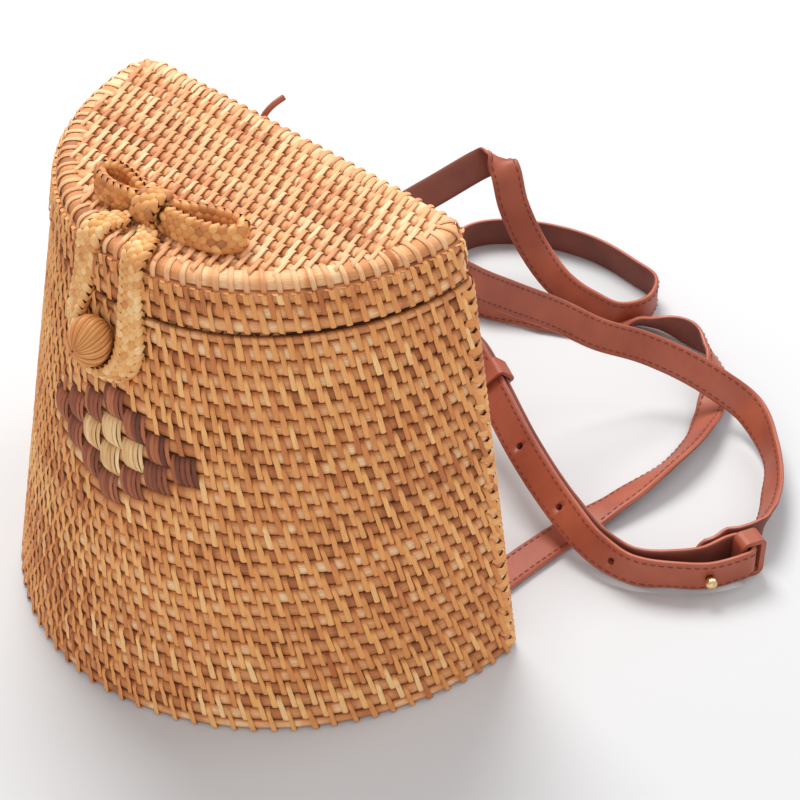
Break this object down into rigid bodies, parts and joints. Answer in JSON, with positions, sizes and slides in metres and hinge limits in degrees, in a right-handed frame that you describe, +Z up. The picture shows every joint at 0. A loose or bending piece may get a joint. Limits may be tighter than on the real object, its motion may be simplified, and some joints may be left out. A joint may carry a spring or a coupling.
{
  "type": "woven rattan backpack",
  "caption": "Half-moon woven rattan backpack with a hinged lid, a braided bow whose loop closes on a ball button, and two leather shoulder straps lying behind it.",
  "frame": {"origin": "on the floor, in the middle of the base", "axes": "+Z up through the lid, -Y towards the curved front, +Y towards the flat back that is worn and the straps, +X to the right as seen from the front"},
  "size_m": [0.2836, 0.3561, 0.2119],
  "materials": {
    "rattan": "satin",
    "braid": "satin",
    "leather": "satin",
    "gold": "polished"
  },
  "bodies": {
    "basket": {"basket_body": "rattan", "hinge_binding_left": "rattan", "hinge_binding_right": "rattan", "ball_button": "braid", "top_patch": "leather", "corner_patch_left": "leather", "corner_patch_right": "leather", "strap_right": "leather", "strap_left_upper": "leather", "strap_left_lower": "leather", "link_loop": "leather", "keeper": "leather", "stud": "gold"},
    "lid": {"lid": "rattan", "lid_rim": "rattan", "lid_lace": "leather", "bow_knot": "braid", "bow_loop_left": "braid", "bow_loop_right": "braid", "closure_loop": "braid"}
  },
  "joints": [
    {"name": "lid_hinge", "type": "hinge", "parent": "basket", "child": "lid", "pos_m": [0, 0.0675, 0.178], "axis": [-1, 0, 0], "range_deg": [0, 100], "deforming": ["closure_loop"]}
  ]
}
